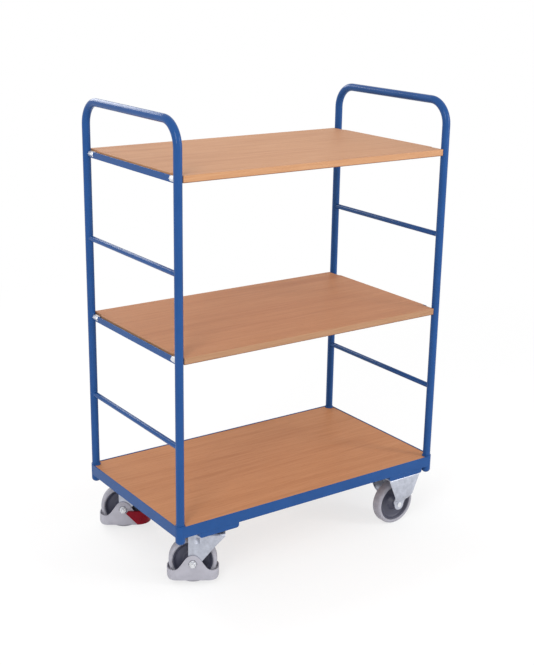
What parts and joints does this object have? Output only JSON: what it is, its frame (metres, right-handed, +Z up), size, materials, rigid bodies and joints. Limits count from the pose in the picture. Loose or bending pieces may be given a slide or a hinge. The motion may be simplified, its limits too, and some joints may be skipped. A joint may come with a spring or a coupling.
{
  "type": "shelf trolley",
  "caption": "Shelf trolley with tubular steel ends that bend over into push handles, wooden boards, fixed and swivel casters with foot guards and a brake pedal.",
  "frame": {"origin": "on the floor, in the middle of the trolley's outline with the casters as they stand", "axes": "+Z up, X along the trolley's long side with the swivel casters at -X, -Y the front"},
  "size_m": [1.07, 0.6417, 1.536],
  "materials": {
    "blue_paint": "glossy blue powder coat",
    "beech_board": "semi-gloss beech decor",
    "zinc_plate": "bright zinc plating",
    "bright_steel": "bright turned steel",
    "grey_tyre": "matt grey non-marking rubber",
    "dark_rim": "satin dark grey plastic",
    "grey_plastic": "matt light grey plastic",
    "red_plastic": "glossy dark red plastic"
  },
  "bodies": {
    "frame": {"axle_back_right": "bright_steel", "axle_front_right": "bright_steel", "base_rail_back": "blue_paint", "base_rail_front": "blue_paint", "base_rail_left": "blue_paint", "base_rail_right": "blue_paint", "board_lower": "beech_board", "board_middle": "beech_board", "board_top": "beech_board", "carrier_nut_middle_back_left": "zinc_plate", "carrier_nut_middle_back_right": "zinc_plate", "carrier_nut_middle_front_left": "zinc_plate", "carrier_nut_middle_front_right": "zinc_plate", "carrier_nut_top_back_left": "zinc_plate", "carrier_nut_top_back_right": "zinc_plate", "carrier_nut_top_front_left": "zinc_plate", "carrier_nut_top_front_right": "zinc_plate", "caster_plate_back_left": "zinc_plate", "caster_plate_front_left": "zinc_plate", "corner_sleeve_back_left": "blue_paint", "corner_sleeve_back_right": "blue_paint", "corner_sleeve_front_left": "blue_paint", "corner_sleeve_front_right": "blue_paint", "cross_member_left": "blue_paint", "cross_member_right": "blue_paint", "end_rung_lower_left": "blue_paint", "end_rung_lower_right": "blue_paint", "end_rung_upper_left": "blue_paint", "end_rung_upper_right": "blue_paint", "end_tube_left": "blue_paint", "end_tube_right": "blue_paint", "fixed_fork_back_right": "zinc_plate", "fixed_fork_front_right": "zinc_plate", "shelf_carrier_middle_left": "blue_paint", "shelf_carrier_middle_right": "blue_paint", "shelf_carrier_top_left": "blue_paint", "shelf_carrier_top_right": "blue_paint"},
    "swivel_front_left": {"axle_bolt_front_left": "bright_steel", "axle_nut_front_left": "bright_steel", "foot_guard_front_left": "grey_plastic", "swivel_fork_front_left": "zinc_plate", "swivel_head_front_left": "zinc_plate"},
    "swivel_back_left": {"axle_bolt_back_left": "bright_steel", "axle_nut_back_left": "bright_steel", "foot_guard_back_left": "grey_plastic", "swivel_fork_back_left": "zinc_plate", "swivel_head_back_left": "zinc_plate"},
    "brake_pedal": {"brake_pedal_back_left": "red_plastic"},
    "wheel_front_left": {"hub_bearing_front_left": "bright_steel", "wheel_rim_front_left": "dark_rim", "wheel_tyre_front_left": "grey_tyre"},
    "wheel_back_left": {"hub_bearing_back_left": "bright_steel", "wheel_rim_back_left": "dark_rim", "wheel_tyre_back_left": "grey_tyre"},
    "wheel_front_right": {"hub_bearing_front_right": "bright_steel", "wheel_rim_front_right": "dark_rim", "wheel_tyre_front_right": "grey_tyre"},
    "wheel_back_right": {"hub_bearing_back_right": "bright_steel", "wheel_rim_back_right": "dark_rim", "wheel_tyre_back_right": "grey_tyre"}
  },
  "joints": [
    {"name": "swivel_front_left_turn", "type": "hinge", "parent": "frame", "child": "swivel_front_left", "pos_m": [-0.381, -0.2525, 0.192], "axis": [0, 0, 1], "continuous": true},
    {"name": "wheel_front_left_spin", "type": "hinge", "parent": "swivel_front_left", "child": "wheel_front_left", "pos_m": [-0.42476, -0.22441, 0.08], "axis": [0.5402, 0.8415, 0], "continuous": true},
    {"name": "swivel_back_left_turn", "type": "hinge", "parent": "frame", "child": "swivel_back_left", "pos_m": [-0.381, 0.2245, 0.192], "axis": [0, 0, 1], "continuous": true},
    {"name": "wheel_back_left_spin", "type": "hinge", "parent": "swivel_back_left", "child": "wheel_back_left", "pos_m": [-0.425, 0.25221, 0.08], "axis": [0.5329, 0.8462, 0], "continuous": true},
    {"name": "brake_pedal_tilt", "type": "hinge", "parent": "swivel_back_left", "child": "brake_pedal", "pos_m": [-0.38608, 0.2277, 0.048], "axis": [-0.5329, -0.8462, 0], "range_deg": [0, 12]},
    {"name": "wheel_front_right_spin", "type": "hinge", "parent": "frame", "child": "wheel_front_right", "pos_m": [0.4105, -0.2525, 0.08], "axis": [0, 1, 0], "continuous": true},
    {"name": "wheel_back_right_spin", "type": "hinge", "parent": "frame", "child": "wheel_back_right", "pos_m": [0.4105, 0.2245, 0.08], "axis": [0, 1, 0], "continuous": true}
  ]
}
